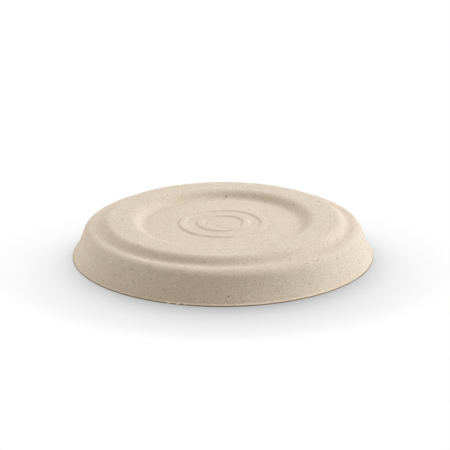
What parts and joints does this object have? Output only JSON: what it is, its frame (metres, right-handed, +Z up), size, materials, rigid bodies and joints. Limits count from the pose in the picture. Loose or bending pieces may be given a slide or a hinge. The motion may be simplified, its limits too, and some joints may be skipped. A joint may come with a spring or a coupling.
{
  "type": "sauce cup lid",
  "caption": "Shallow round lid of pressed plant-fibre pulp: sunk centre panel, raised ring, ledge over the cup's rim, and a skirt flaring out to a small lip.",
  "frame": {"origin": "centre of the circle on which the lip stands", "axes": "+Z up through the middle of the lid, towards the raised ring; X and Y in the plane of the foot"},
  "size_m": [0.068, 0.068, 0.0088],
  "materials": {
    "pulp": "matte natural pulp with fine fibre flecks"
  },
  "bodies": {
    "root": {"lid": "pulp"}
  },
  "joints": []
}
